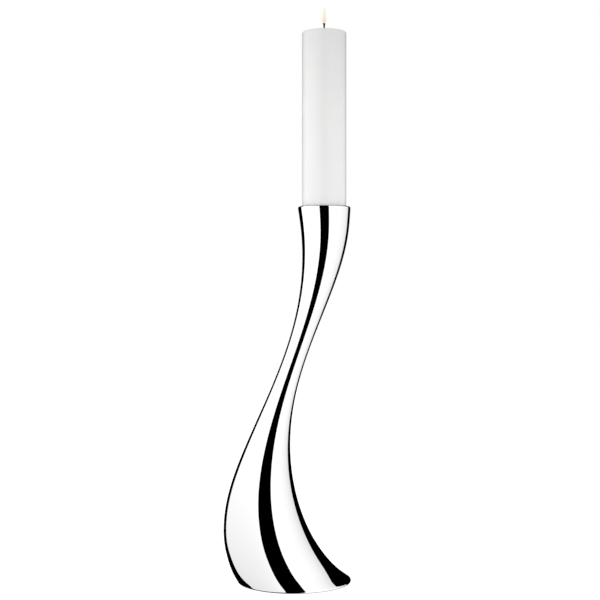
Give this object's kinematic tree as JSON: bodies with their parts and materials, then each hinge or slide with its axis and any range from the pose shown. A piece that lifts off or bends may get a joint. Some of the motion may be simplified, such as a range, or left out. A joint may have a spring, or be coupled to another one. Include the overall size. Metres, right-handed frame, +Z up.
{
  "type": "candlestick",
  "caption": "Tall leaning candlestick with a waisted, mirror-polished steel body on a weighted round foot, holding a pillar candle that lifts out of its cup.",
  "frame": {"origin": "centre of the round foot, on the surface that the candlestick stands on", "axes": "+Z up. The body bulges towards -X at the bottom, and the foot's toe and the candle lie towards +X. The two sides are alike across the XZ plane"},
  "size_m": [0.17, 0.1524, 0.746],
  "materials": {
    "polished_steel": "mirror-polished stainless steel",
    "plain_steel": "plain steel, as rolled or turned",
    "cast_iron": "rough casting, dark",
    "felt": "dense black felt",
    "wax": "smooth white candle wax, slightly translucent",
    "wick": "braided cotton, charred at the top"
  },
  "bodies": {
    "holder": {"body_shell": "polished_steel", "candle_cup": "polished_steel", "candle_spike": "plain_steel", "spike_washer": "plain_steel", "spike_nut": "plain_steel", "mounting_ring": "plain_steel", "base_plate": "plain_steel", "ballast_weight": "cast_iron", "base_screws": "plain_steel", "ballast_screws": "plain_steel", "felt_pad": "felt"},
    "candle": {"candle_wax": "wax", "candle_wick": "wick"}
  },
  "joints": [
    {"name": "candle_lift", "type": "slide", "parent": "holder", "child": "candle", "axis": [0, 0, 1], "range_m": [0, 0.03]}
  ]
}
